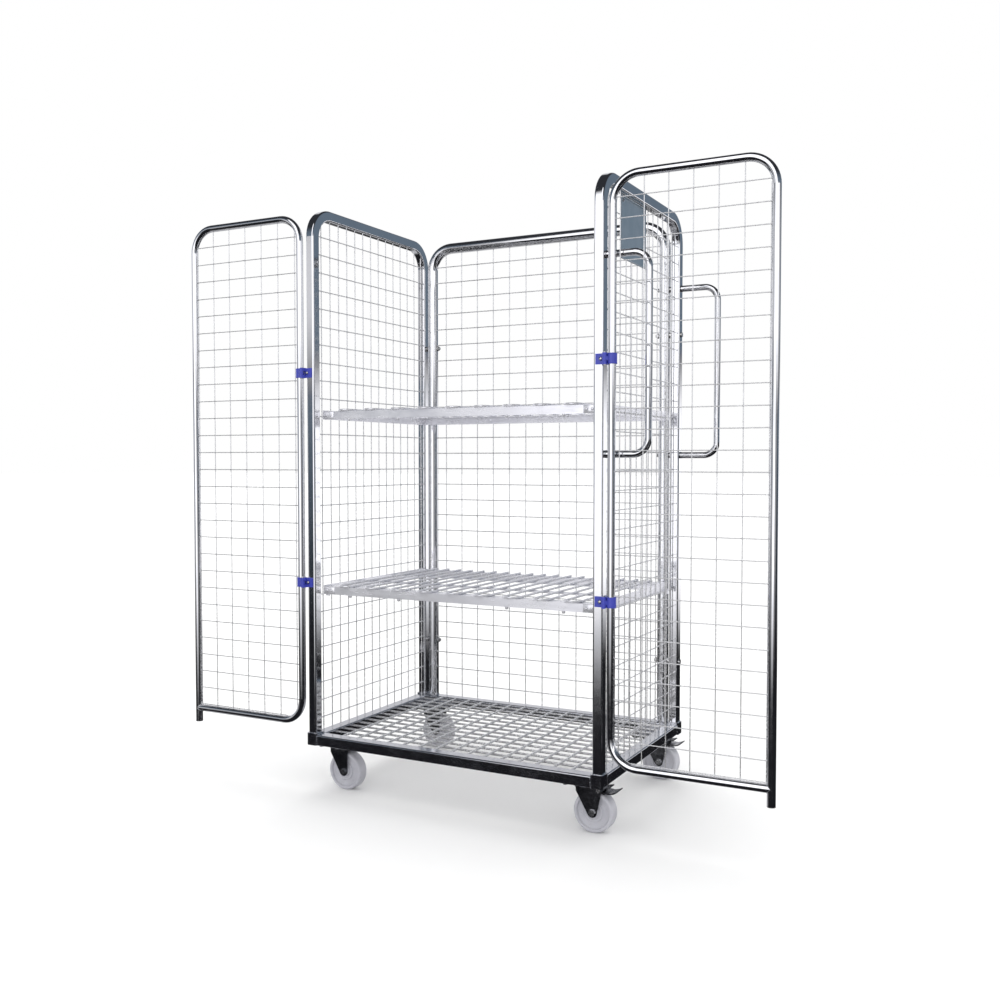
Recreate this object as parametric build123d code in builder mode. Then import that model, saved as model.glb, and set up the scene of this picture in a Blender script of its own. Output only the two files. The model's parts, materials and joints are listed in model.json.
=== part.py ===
from build123d import *
import math
import os

os.makedirs("parts", exist_ok=True)

# Roll cage container for order picking.
# Frame: X to the right along the front, Y to the back, Z up. Origin on the floor, under the middle
# of the cage's footprint. Both half doors stand open, in line with the front.

# ---- driving dimensions, mm ----
WIDTH = 888.0           # over the outer faces of the two side frames
DEPTH = 612.0           # over the front and rear posts
HEIGHT = 1630.0         # floor to the top of the side frames
HALF_W = WIDTH / 2
HALF_D = DEPTH / 2

POST_X = 26.0           # post section, across the cage
POST_Y = 30.0           # post section, front to back
POST_WALL = 1.5
POST_ROUND = 5.0
POST_BEND = 68.0        # centreline radius of the side frame's top corners

BASE_LOW = 126.0
BASE_TOP = 156.0
RAIL_W = 36.0
RAIL_WALL = 2.0
SOCKET_WALL = 4.0
SOCKET_TOP = 160.0
SOCKET_FLOOR = 130.0

ROW_PITCH = 50.0        # spacing of the horizontal wires, the same on every panel
FIRST_ROW = 200.0
ROWS = 28
SIDE_WIRE = 3.0
SIDE_COLUMNS = 14
SIDE_FIRST = 263.0
BACK_COLUMN_PITCH = 57.5
BACK_COLUMNS = 13
DECK_WIRE = 6.0

BACK_TUBE = 33.0        # round tube of the back frame
BACK_X = 394.0
BACK_Y = 292.0
BACK_TOP = 1625.0
BACK_BEND = 68.0

DOOR_TUBE = 20.0
DOOR_WALL = 1.5
DOOR_X = 466.0          # hinge side tube, door open
DOOR_Y = -304.0
DOOR_SPAN = 388.0       # between the centres of the two upright tubes
DOOR_LOW = 187.0
DOOR_HIGH = 1603.0
DOOR_BEND = 67.0
DOOR_FOOT = 148.0       # lower end of the free tube
DOOR_WIRE = 2.5
DOOR_COLUMN_PITCH = 59.5
DOOR_COLUMNS = 7
DOOR_FIRST_COLUMN = 19.2

PIN_X = 452.0
PIN_Y = -317.0
PIN_R = 2.5
KNUCKLE_R = 5.5
CLIP_R = 12.5
CLIP_HALF = 13.0
HINGE_LEVELS = (585.0, 1170.0)

HANDLE_TUBE = 18.0
HANDLE_WALL = 2.0
HANDLE_OUT = 107.0
HANDLE_LOW = 942.0
HANDLE_HIGH = 1422.0
HANDLE_BEND = 38.0
HANDLE_FRONT_Y = -284.0
HANDLE_REAR_Y = 292.0
BACK_BOLT_LEVELS = (338.0, 1290.0)
BOLT_R = 4.0

SHELF_WIRE = 6.0
SHELF_TOPS = {"upper": 1070.0, "lower": 578.0}
SHELF_ROWS = {"upper": 1050.0, "lower": 550.0}
HAIRPIN_PITCH = 86.0
HAIRPINS = 9
SHELF_HALF_X = 412.0
SHELF_FRONT = -270.0
SHELF_REAR = 270.0

WHEEL_R = 53.0
WHEEL_HALF = 17.5
HUB_HALF = 18.0
CASTOR_X = 377.0
CASTOR_Y = 250.0
TRAIL = 28.0
LEG_IN = 19.5
LEG_OUT = 23.0
AXLE_R = 6.0
LEG_END_R = 12.5         # rounded lower end of a fork leg
NUT_R = 9.0
RUN_GAP = 0.06
PEDAL_X = 44.0
PEDAL_Z = 110.0
CASTORS = {
    "front_left": (-1, -1),
    "front_right": (1, -1),
    "rear_left": (-1, 1),
    "rear_right": (1, 1),
}


def save(builder, name):
    builder.part.label = name
    export_step(builder.part, "parts/" + name + ".step")


def at(x, y, z, normal, across=(1, 0, 0)):
    return Plane(origin=(x, y, z), x_dir=across, z_dir=normal)


def rod(start, end, radius):
    """Adds a straight round bar from start to end to the part being built."""
    run = Vector(*end) - Vector(*start)
    across = (0, 0, 1) if abs(run.Z) < 0.5 * run.length else (1, 0, 0)
    with BuildSketch(Plane(origin=start, x_dir=across, z_dir=run)) as section:
        Circle(radius)
    extrude(section.sketch, amount=run.length)


def bore(start, end, radius):
    """Cuts a straight round hole from start to end."""
    run = Vector(*end) - Vector(*start)
    across = (0, 0, 1) if abs(run.Z) < 0.5 * run.length else (1, 0, 0)
    with BuildSketch(Plane(origin=start, x_dir=across, z_dir=run)) as section:
        Circle(radius)
    extrude(section.sketch, amount=run.length, mode=Mode.SUBTRACT)


def block(x, y, z, mode=Mode.ADD):
    """Adds a box given by its low and high x, y and z."""
    with Locations(((x[0] + x[1]) / 2, (y[0] + y[1]) / 2, (z[0] + z[1]) / 2)):
        Box(abs(x[1] - x[0]), abs(y[1] - y[0]), abs(z[1] - z[0]), mode=mode)


def rows():
    return [FIRST_ROW + ROW_PITCH * k for k in range(ROWS)]


def arch(offset, run, bend, inner, rim):
    """Height of the inside of a frame's rounded corner, offset from the upright tube's centreline."""
    if offset >= bend:
        return rim
    reach = bend - offset
    return run + math.sqrt(max(inner * inner - reach * reach, 0.0))


# ---- base: hollow rails welded between four corner sockets ----
INNER_X = HALF_W - POST_X
SOCKET_X = (HALF_W - POST_X - SOCKET_WALL, HALF_W + SOCKET_WALL)
SOCKET_Y = (HALF_D - POST_Y - SOCKET_WALL, HALF_D + SOCKET_WALL)
RAIL_X = (HALF_W + 2 - RAIL_W, HALF_W + 2)
RAIL_Y = (HALF_D + 2 - RAIL_W, HALF_D + 2)
RAIL_H = BASE_TOP - BASE_LOW
RAIL_MID = (BASE_TOP + BASE_LOW) / 2


def rail_section():
    RectangleRounded(RAIL_W, RAIL_H, 4)
    RectangleRounded(RAIL_W - 2 * RAIL_WALL, RAIL_H - 2 * RAIL_WALL, 2, mode=Mode.SUBTRACT)


with BuildPart() as base_rails_long:
    for side in (-1, 1):
        mid = side * (RAIL_Y[0] + RAIL_Y[1]) / 2
        with BuildSketch(at(-SOCKET_X[0], mid, RAIL_MID, (1, 0, 0), (0, 1, 0))):
            rail_section()
        extrude(amount=2 * SOCKET_X[0])
save(base_rails_long, "base_rails_long")

with BuildPart() as base_rails_side:
    for side in (-1, 1):
        mid = side * (RAIL_X[0] + RAIL_X[1]) / 2
        with BuildSketch(at(mid, -SOCKET_Y[0], RAIL_MID, (0, 1, 0))):
            rail_section()
        extrude(amount=2 * SOCKET_Y[0])
save(base_rails_side, "base_rails_side")

with BuildPart() as corner_sockets:
    for sx in (-1, 1):
        for sy in (-1, 1):
            cx = sx * (SOCKET_X[0] + SOCKET_X[1]) / 2
            cy = sy * (SOCKET_Y[0] + SOCKET_Y[1]) / 2
            with BuildSketch(Plane.XY.offset(BASE_LOW)):
                with Locations((cx, cy)):
                    RectangleRounded(POST_X + 2 * SOCKET_WALL, POST_Y + 2 * SOCKET_WALL, 6)
            extrude(amount=SOCKET_TOP - BASE_LOW)
            with BuildSketch(Plane.XY.offset(SOCKET_FLOOR)):
                with Locations((cx, cy)):
                    RectangleRounded(POST_X + 0.2, POST_Y + 0.2, POST_ROUND)
            extrude(amount=SOCKET_TOP - SOCKET_FLOOR, mode=Mode.SUBTRACT)
save(corner_sockets, "corner_sockets")

with BuildPart() as base_gussets:
    for sx in (-1, 1):
        for sy in (-1, 1):
            with BuildSketch(Plane.XY.offset(BASE_LOW)):
                with BuildLine():
                    Polyline(
                        (sx * RAIL_X[0], sy * RAIL_Y[0]),
                        (sx * (RAIL_X[0] - 92), sy * RAIL_Y[0]),
                        (sx * (RAIL_X[0] - 92), sy * (RAIL_Y[0] - 50)),
                        (sx * (RAIL_X[0] - 70), sy * (RAIL_Y[0] - 72)),
                        (sx * RAIL_X[0], sy * (RAIL_Y[0] - 72)),
                        close=True,
                    )
                make_face()
            extrude(amount=4)
save(base_gussets, "base_gussets")

# Deck: front-to-back wires on top, level with the rails, over wires that run across.
DECK_TOP_Z = BASE_TOP - DECK_WIRE / 2
DECK_LOW_Z = DECK_TOP_Z - DECK_WIRE
with BuildPart() as deck_wires_front_back:
    for k in range(-7, 8):
        rod((50 * k, -RAIL_Y[0], DECK_TOP_Z), (50 * k, RAIL_Y[0], DECK_TOP_Z), DECK_WIRE / 2)
save(deck_wires_front_back, "deck_wires_front_back")

with BuildPart() as deck_wires_across:
    for k in range(14):
        y = -260 + 40 * k
        rod((-RAIL_X[0], y, DECK_LOW_Z), (RAIL_X[0], y, DECK_LOW_Z), DECK_WIRE / 2)
save(deck_wires_across, "deck_wires_across")


# ---- side panels: one bent rectangular tube each, with a welded wire mesh ----
def side_frame(side, holes):
    x = side * (HALF_W - POST_X / 2)
    y = HALF_D - POST_Y / 2
    top = HEIGHT - POST_Y / 2
    with BuildPart() as frame:
        with BuildLine() as path:
            FilletPolyline(
                (x, -y, SOCKET_FLOOR), (x, -y, top), (x, y, top), (x, y, SOCKET_FLOOR),
                radius=POST_BEND,
            )
        with BuildSketch(at(x, -y, SOCKET_FLOOR, (0, 0, 1))):
            RectangleRounded(POST_X, POST_Y, POST_ROUND)
            RectangleRounded(
                POST_X - 2 * POST_WALL, POST_Y - 2 * POST_WALL, POST_ROUND - POST_WALL,
                mode=Mode.SUBTRACT,
            )
        sweep(path=path.line)
        for hy, hz in holes:
            bore((side * (INNER_X - 5), hy, hz), (side * (HALF_W + 5), hy, hz), BOLT_R + 0.1)
    return frame


BACK_HOLES = [(BACK_Y, z) for z in BACK_BOLT_LEVELS]
HANDLE_HOLES = [(y, z) for y in (HANDLE_FRONT_Y, HANDLE_REAR_Y) for z in (HANDLE_LOW, HANDLE_HIGH)]
side_frame_left = side_frame(-1, BACK_HOLES)
save(side_frame_left, "side_frame_left")
side_frame_right = side_frame(1, BACK_HOLES + HANDLE_HOLES)
save(side_frame_right, "side_frame_right")

SIDE_PITCH = 2 * SIDE_FIRST / (SIDE_COLUMNS - 1)
SIDE_ROW_X = INNER_X + 2.5
SIDE_COLUMN_X = SIDE_ROW_X + SIDE_WIRE


def side_mesh(side):
    arc_z = HEIGHT - POST_Y / 2 - POST_BEND
    inner = POST_BEND - POST_Y / 2
    with BuildPart() as mesh:
        for z in rows():
            reach = HALF_D - POST_Y
            if z > arc_z:
                reach -= inner - math.sqrt(inner ** 2 - (z + 1.6 - arc_z) ** 2)
            rod((side * SIDE_ROW_X, -reach, z), (side * SIDE_ROW_X, reach, z), SIDE_WIRE / 2)
        for k in range(SIDE_COLUMNS):
            y = -SIDE_FIRST + SIDE_PITCH * k
            offset = HALF_D - POST_Y / 2 - abs(y) - 1.6
            high = arch(offset, arc_z, POST_BEND, inner, HEIGHT - POST_Y)
            rod((side * SIDE_COLUMN_X, y, BASE_TOP), (side * SIDE_COLUMN_X, y, high), SIDE_WIRE / 2)
    return mesh


side_mesh_left = side_mesh(-1)
save(side_mesh_left, "side_mesh_left")
side_mesh_right = side_mesh(1)
save(side_mesh_right, "side_mesh_right")

# Blank sign plate, hung from the right side frame's top rail against the outside of the mesh.
with BuildPart() as sign_plate:
    plate_x = SIDE_COLUMN_X + SIDE_WIRE / 2
    block((plate_x, plate_x + 2), (-147, 35), (1439, HEIGHT - POST_Y))
save(sign_plate, "sign_plate")

# ---- back panel: bent round tube with mesh, bolted to the rear posts through spacers ----
BACK_AXIS_TOP = BACK_TOP - BACK_TUBE / 2
with BuildPart() as back_frame:
    with BuildLine() as back_path:
        FilletPolyline(
            (-BACK_X, BACK_Y, BASE_TOP), (-BACK_X, BACK_Y, BACK_AXIS_TOP),
            (BACK_X, BACK_Y, BACK_AXIS_TOP), (BACK_X, BACK_Y, BASE_TOP),
            radius=BACK_BEND,
        )
    with BuildSketch(at(-BACK_X, BACK_Y, BASE_TOP, (0, 0, 1))):
        Circle(BACK_TUBE / 2)
        Circle(BACK_TUBE / 2 - 1.5, mode=Mode.SUBTRACT)
    sweep(path=back_path.line)
    for z in BACK_BOLT_LEVELS + (HANDLE_LOW, HANDLE_HIGH):
        bore((BACK_X - 25, BACK_Y, z), (BACK_X + 25, BACK_Y, z), BOLT_R + 0.1)
    for z in BACK_BOLT_LEVELS:
        bore((-BACK_X - 25, BACK_Y, z), (-BACK_X + 25, BACK_Y, z), BOLT_R + 0.1)
save(back_frame, "back_frame")

BACK_ROW_Y = BACK_Y - SIDE_WIRE / 2
BACK_COLUMN_Y = BACK_Y + SIDE_WIRE / 2
BACK_ARC_Z = BACK_AXIS_TOP - BACK_BEND
BACK_INNER = BACK_BEND - BACK_TUBE / 2
with BuildPart() as back_mesh:
    for z in rows():
        reach = BACK_X - BACK_TUBE / 2
        if z > BACK_ARC_Z:
            reach = BACK_X - BACK_BEND + math.sqrt(BACK_INNER ** 2 - (z + 1.6 - BACK_ARC_Z) ** 2)
        rod((-reach, BACK_ROW_Y, z), (reach, BACK_ROW_Y, z), SIDE_WIRE / 2)
    for k in range(BACK_COLUMNS):
        x = BACK_COLUMN_PITCH * (k - (BACK_COLUMNS - 1) / 2)
        high = arch(
            BACK_X - abs(x) - 1.6, BACK_ARC_Z, BACK_BEND, BACK_INNER, BACK_AXIS_TOP - BACK_TUBE / 2
        )
        rod((x, BACK_COLUMN_Y, BASE_TOP), (x, BACK_COLUMN_Y, high), SIDE_WIRE / 2)
save(back_mesh, "back_mesh")

BACK_OUTER_X = BACK_X + BACK_TUBE / 2
BACK_INNER_X = BACK_X - BACK_TUBE / 2
with BuildPart() as back_spacers:
    spots = [(1, z) for z in BACK_BOLT_LEVELS + (HANDLE_LOW, HANDLE_HIGH)]
    spots += [(-1, z) for z in BACK_BOLT_LEVELS]
    for side, z in spots:
        rod((side * BACK_OUTER_X, BACK_Y, z), (side * INNER_X, BACK_Y, z), 8)
        bore((side * BACK_OUTER_X, BACK_Y, z), (side * INNER_X, BACK_Y, z), BOLT_R + 0.1)
save(back_spacers, "back_spacers")

with BuildPart() as back_bolts:
    for side in (-1, 1):
        for z in BACK_BOLT_LEVELS:
            face = side * HALF_W
            rod((face, BACK_Y, z), (side * (HALF_W + 3.5), BACK_Y, z), 7)
            rod((face, BACK_Y, z), (side * (BACK_INNER_X - 10), BACK_Y, z), BOLT_R)
save(back_bolts, "back_bolts")

with BuildPart() as back_nuts:
    for side in (-1, 1):
        for z in BACK_BOLT_LEVELS:
            x = side * BACK_INNER_X
            with BuildSketch(at(x, BACK_Y, z, (-side, 0, 0), (0, 0, 1))):
                RegularPolygon(7.5, 6)
                Circle(BOLT_R, mode=Mode.SUBTRACT)
            extrude(amount=6.5)
save(back_nuts, "back_nuts")


# ---- pushing handles on the right side ----
def handle(y):
    with BuildPart() as grip:
        with BuildLine() as path:
            FilletPolyline(
                (HALF_W, y, HANDLE_LOW), (HALF_W + HANDLE_OUT, y, HANDLE_LOW),
                (HALF_W + HANDLE_OUT, y, HANDLE_HIGH), (HALF_W, y, HANDLE_HIGH),
                radius=HANDLE_BEND,
            )
        with BuildSketch(at(HALF_W, y, HANDLE_LOW, (1, 0, 0), (0, 1, 0))):
            Circle(HANDLE_TUBE / 2)
            Circle(HANDLE_TUBE / 2 - HANDLE_WALL, mode=Mode.SUBTRACT)
        sweep(path=path.line)
    return grip


handle_front = handle(HANDLE_FRONT_Y)
save(handle_front, "handle_front")
handle_rear = handle(HANDLE_REAR_Y)
save(handle_rear, "handle_rear")

# Threaded inserts in the handles' ends.
with BuildPart() as handle_inserts:
    for y in (HANDLE_FRONT_Y, HANDLE_REAR_Y):
        for z in (HANDLE_LOW, HANDLE_HIGH):
            rod((HALF_W, y, z), (HALF_W + 20, y, z), HANDLE_TUBE / 2 - HANDLE_WALL)
            bore((HALF_W, y, z), (HALF_W + 20, y, z), BOLT_R)
save(handle_inserts, "handle_inserts")


def domed_bolt(x_head, x_end, y, z):
    """Domed bolt head on the low-x side of x_head, with its shank towards x_end."""
    with BuildSketch(Plane(origin=(x_head, y, z), x_dir=(1, 0, 0), z_dir=(0, -1, 0))) as dome:
        with BuildLine():
            Line((0, 0), (0, 6.3))
            ThreePointArc((0, 6.3), (-3.3, 5), (-4.6, 2.5))
            Polyline((-4.6, 2.5), (-4.6, 0), (0, 0))
        make_face()
    revolve(dome.sketch, axis=Axis((x_head, y, z), (1, 0, 0)))
    rod((x_head, y, z), (x_end, y, z), BOLT_R)


with BuildPart() as handle_bolts:
    for z in (HANDLE_LOW, HANDLE_HIGH):
        domed_bolt(INNER_X, HALF_W + 18, HANDLE_FRONT_Y, z)
        domed_bolt(BACK_INNER_X, HALF_W + 18, HANDLE_REAR_Y, z)
save(handle_bolts, "handle_bolts")

# ---- shelves: hairpin wires over folded rails, hung on the side meshes by hooks ----
SHELF_UNDER = 2.0       # thickness of the flat bands
RAIL_DROP = 22.0
HOOK_Y = 242.7


def shelf_rails(top):
    under = top - SHELF_WIRE
    with BuildPart() as rails:
        for sy, edge in ((1, SHELF_FRONT), (-1, SHELF_REAR)):
            block(
                (-SHELF_HALF_X, SHELF_HALF_X), (edge, edge + sy * 40), (under - SHELF_UNDER, under)
            )
            block(
                (-SHELF_HALF_X, SHELF_HALF_X), (edge, edge + sy * 2.5), (under - RAIL_DROP, under)
            )
    return rails


def shelf_bands(top):
    under = top - SHELF_WIRE
    with BuildPart() as bands:
        for y in (-92, 92):
            block((-SHELF_HALF_X, SHELF_HALF_X), (y - 17.5, y + 17.5), (under - SHELF_UNDER, under))
    return bands


def shelf_sides(top):
    under = top - SHELF_WIRE
    with BuildPart() as sides:
        for side in (-1, 1):
            block(
                (side * SHELF_HALF_X, side * (SHELF_HALF_X + 3)), (SHELF_FRONT, SHELF_REAR),
                (under - RAIL_DROP, under + 3),
            )
    return sides


def shelf_wires(top):
    z = top - SHELF_WIRE / 2
    half = HAIRPIN_PITCH / 4
    bend = SHELF_FRONT + half - 5
    with BuildPart() as wires:
        for k in range(HAIRPINS):
            x = HAIRPIN_PITCH * (k - (HAIRPINS - 1) / 2)
            with BuildLine() as path:
                Line((x - half, SHELF_REAR, z), (x - half, bend, z))
                ThreePointArc((x - half, bend, z), (x, bend - half, z), (x + half, bend, z))
                Line((x + half, bend, z), (x + half, SHELF_REAR, z))
            with BuildSketch(at(x - half, SHELF_REAR, z, (0, -1, 0))):
                Circle(SHELF_WIRE / 2)
            sweep(path=path.line)
    return wires


def shelf_hooks(row):
    slot = SIDE_ROW_X - SIDE_WIRE / 2 - 0.3
    with BuildPart() as hooks:
        for side in (-1, 1):
            for y in (-HOOK_Y, HOOK_Y):
                block(
                    (side * (SHELF_HALF_X + 3), side * (SIDE_ROW_X + 6.5)), (y - 2, y + 2),
                    (row - 8, row + 7),
                )
                block(
                    (side * slot, side * (slot + SIDE_WIRE + 0.6)), (y - 3, y + 3),
                    (row - 9, row + SIDE_WIRE / 2 + 0.05), mode=Mode.SUBTRACT,
                )
    return hooks


for level, shelf_top in SHELF_TOPS.items():
    save(shelf_rails(shelf_top), "shelf_" + level + "_rails")
    save(shelf_bands(shelf_top), "shelf_" + level + "_bands")
    save(shelf_sides(shelf_top), "shelf_" + level + "_sides")
    save(shelf_wires(shelf_top), "shelf_" + level + "_wires")
    save(shelf_hooks(SHELF_ROWS[level]), "shelf_" + level + "_hooks")


# ---- doors: one bent round tube with mesh, turning on two clip hinges ----
def door_frame(side):
    hinge = side * DOOR_X
    free = side * (DOOR_X + DOOR_SPAN)
    stub = side * (DOOR_X + DOOR_SPAN - 30)
    with BuildPart() as frame:
        with BuildLine() as path:
            FilletPolyline(
                (free, DOOR_Y, DOOR_FOOT), (free, DOOR_Y, DOOR_HIGH), (hinge, DOOR_Y, DOOR_HIGH),
                (hinge, DOOR_Y, DOOR_LOW), (stub, DOOR_Y, DOOR_LOW),
                radius=DOOR_BEND,
            )
        with BuildSketch(at(free, DOOR_Y, DOOR_FOOT, (0, 0, 1))):
            Circle(DOOR_TUBE / 2)
            Circle(DOOR_TUBE / 2 - DOOR_WALL, mode=Mode.SUBTRACT)
        sweep(path=path.line)
        # Coped end of the bottom rail, welded to the free upright tube.
        with BuildPart(mode=Mode.PRIVATE) as coped:
            rod((free, DOOR_Y, DOOR_LOW), (stub, DOOR_Y, DOOR_LOW), DOOR_TUBE / 2)
            bore((free, DOOR_Y, DOOR_LOW), (stub, DOOR_Y, DOOR_LOW), DOOR_TUBE / 2 - DOOR_WALL)
            bore(
                (free, DOOR_Y, DOOR_LOW - 30), (free, DOOR_Y, DOOR_LOW + 30),
                DOOR_TUBE / 2 - 0.01,
            )
        add(coped.part)
    return frame


DOOR_INNER = DOOR_BEND - DOOR_TUBE / 2


def door_mesh(side):
    high_arc = DOOR_HIGH - DOOR_BEND
    low_arc = DOOR_LOW + DOOR_BEND
    with BuildPart() as mesh:
        y = DOOR_Y - DOOR_WIRE / 2
        for z in rows():
            near = DOOR_X + DOOR_TUBE / 2
            far = DOOR_X + DOOR_SPAN - DOOR_TUBE / 2
            if z > high_arc:
                cut = DOOR_BEND - math.sqrt(DOOR_INNER ** 2 - (z + 1.35 - high_arc) ** 2)
                near = DOOR_X + cut
                far = DOOR_X + DOOR_SPAN - cut
            if z < low_arc:
                rise = low_arc - z + 1.35
                near = DOOR_X + DOOR_BEND - math.sqrt(DOOR_INNER ** 2 - rise ** 2)
            rod((side * near, y, z), (side * far, y, z), DOOR_WIRE / 2)
        y = DOOR_Y + DOOR_WIRE / 2
        for k in range(DOOR_COLUMNS):
            offset = DOOR_FIRST_COLUMN + DOOR_COLUMN_PITCH * k
            rim = DOOR_HIGH - DOOR_TUBE / 2
            edge = min(offset, DOOR_SPAN - offset) - 1.35
            high = arch(edge, high_arc, DOOR_BEND, DOOR_INNER, rim)
            low = DOOR_LOW + DOOR_TUBE / 2
            if offset < DOOR_BEND:
                low = low_arc - math.sqrt(DOOR_INNER ** 2 - (DOOR_BEND - edge) ** 2)
            x = side * (DOOR_X + offset)
            rod((x, y, low), (x, y, high), DOOR_WIRE / 2)
    return mesh


def door_plug(side):
    x = side * (DOOR_X + DOOR_SPAN)
    with BuildPart() as plug:
        rod((x, DOOR_Y, DOOR_FOOT - 2), (x, DOOR_Y, DOOR_FOOT), DOOR_TUBE / 2)
        rod((x, DOOR_Y, DOOR_FOOT), (x, DOOR_Y, DOOR_FOOT + 14), DOOR_TUBE / 2 - DOOR_WALL)
    return plug


def door_clips(side):
    """Ring round the door's tube with a middle knuckle on the hinge pin, at each hinge level."""
    with BuildPart() as clips:
        for z in HINGE_LEVELS:
            with BuildSketch(Plane.XY.offset(z - CLIP_HALF)):
                with Locations((side * DOOR_X, DOOR_Y)):
                    Circle(CLIP_R)
            extrude(amount=2 * CLIP_HALF)
            with BuildSketch(Plane.XY.offset(z - 5)):
                with BuildSketch(mode=Mode.PRIVATE) as web:
                    with Locations((side * PIN_X, PIN_Y)):
                        Circle(KNUCKLE_R)
                    with Locations((side * DOOR_X, DOOR_Y)):
                        Circle(4)
                    make_hull()
                add(web.sketch)
            extrude(amount=10)
            bore((side * DOOR_X, DOOR_Y, z - 20), (side * DOOR_X, DOOR_Y, z + 20), DOOR_TUBE / 2)
            bore((side * PIN_X, PIN_Y, z - 20), (side * PIN_X, PIN_Y, z + 20), PIN_R + 0.06)
    return clips


for name, side in (("left", -1), ("right", 1)):
    save(door_frame(side), "door_frame_" + name)
    save(door_mesh(side), "door_mesh_" + name)
    save(door_plug(side), "door_plug_" + name)
    save(door_clips(side), "hinge_door_clips_" + name)

# Hinge halves on the front posts: a leaf folded round the post's outer corner, and two knuckles.
with BuildPart() as hinge_post_clips:
    for side in (-1, 1):
        for z in HINGE_LEVELS:
            x0 = side * HALF_W
            block((side * (HALF_W - 19), side * (HALF_W + 3)), (-HALF_D - 3, -HALF_D),
                  (z - CLIP_HALF, z + CLIP_HALF))
            block((x0, side * (HALF_W + 3)), (-HALF_D - 3, -HALF_D + 24),
                  (z - CLIP_HALF, z + CLIP_HALF))
            for low in (z - 14, z + 5.3):
                with BuildSketch(Plane.XY.offset(low)):
                    with BuildSketch(mode=Mode.PRIVATE) as ear:
                        with Locations((side * PIN_X, PIN_Y)):
                            Circle(KNUCKLE_R)
                        with Locations((side * (HALF_W + 1.5), -HALF_D - 1.5)):
                            Rectangle(3, 3)
                        make_hull()
                    add(ear.sketch)
                extrude(amount=8.7)
            bore((side * PIN_X, PIN_Y, z - 20), (side * PIN_X, PIN_Y, z + 20), PIN_R)
            bore((side * (HALF_W - 5), -HALF_D - 4, z), (side * (HALF_W - 5), -HALF_D, z), 2.5)
save(hinge_post_clips, "hinge_post_clips")

with BuildPart() as hinge_pins:
    for side in (-1, 1):
        for z in HINGE_LEVELS:
            rod((side * PIN_X, PIN_Y, z - 15), (side * PIN_X, PIN_Y, z + 14), PIN_R)
            rod((side * PIN_X, PIN_Y, z + 14), (side * PIN_X, PIN_Y, z + 15.5), 4)
save(hinge_pins, "hinge_pins")

with BuildPart() as hinge_screws:
    for side in (-1, 1):
        for z in HINGE_LEVELS:
            x = side * (HALF_W - 5)
            rod((x, -HALF_D - 3, z), (x, -HALF_D - 4.8, z), 4.2)
            rod((x, -HALF_D, z), (x, -HALF_D - 3, z), 2.5)
save(hinge_screws, "hinge_screws")


# ---- castors: plate, swivel head, fork, wheel and axle; the two right-hand ones have a brake ----
PLATE_LOW = BASE_LOW - 4
CROWN = (111.0, 115.0)
with BuildPart() as castor_plates:
    for sx, sy in CASTORS.values():
        with BuildSketch(Plane.XY.offset(PLATE_LOW)):
            with Locations((sx * CASTOR_X, sy * CASTOR_Y)):
                RectangleRounded(100, 85, 8)
        extrude(amount=4)
save(castor_plates, "castor_plates")

with BuildPart() as castor_races:
    for sx, sy in CASTORS.values():
        c = (sx * CASTOR_X, sy * CASTOR_Y)
        rod((*c, 118.2), (*c, PLATE_LOW), 25)
        bore((*c, 118.2), (*c, PLATE_LOW), AXLE_R)
save(castor_races, "castor_races")

with BuildPart() as castor_kingpins:
    for sx, sy in CASTORS.values():
        c = (sx * CASTOR_X, sy * CASTOR_Y)
        rod((*c, 105.8), (*c, 110.8), 8.5)
        rod((*c, 110.8), (*c, PLATE_LOW), AXLE_R)
save(castor_kingpins, "castor_kingpins")


def castor_fork(cx, cy, braked):
    reach = 52.0 if braked else 42.0
    with BuildPart() as fork:
        with BuildSketch(Plane.XY.offset(CROWN[0])):
            with BuildSketch(mode=Mode.PRIVATE) as crown:
                with Locations((cx, cy)):
                    Circle(27)
                with Locations((cx + 10.5, cy)):
                    Rectangle(51, 2 * LEG_OUT)
                make_hull()
            add(crown.sketch)
        extrude(amount=CROWN[1] - CROWN[0])
        for side in (-1, 1):
            with BuildSketch(at(cx, cy + side * LEG_IN, 0, (0, side, 0))) as leg:
                flip = -side
                with BuildSketch(mode=Mode.PRIVATE) as blade:
                    with Locations((TRAIL, flip * WHEEL_R)):
                        Circle(LEG_END_R)
                    with Locations(((reach - 16) / 2, flip * 109.5)):
                        Rectangle(reach + 16, 11)
                    make_hull()
                add(blade.sketch)
                with Locations((TRAIL, flip * WHEEL_R)):
                    Circle(AXLE_R, mode=Mode.SUBTRACT)
                if braked:
                    with Locations((PEDAL_X, flip * PEDAL_Z)):
                        Circle(3, mode=Mode.SUBTRACT)
            extrude(amount=LEG_OUT - LEG_IN)
        rod((cx, cy, CROWN[1]), (cx, cy, 117.9), 25)
        bore((cx, cy, CROWN[0]), (cx, cy, 118), AXLE_R + RUN_GAP)
    return fork


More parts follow.
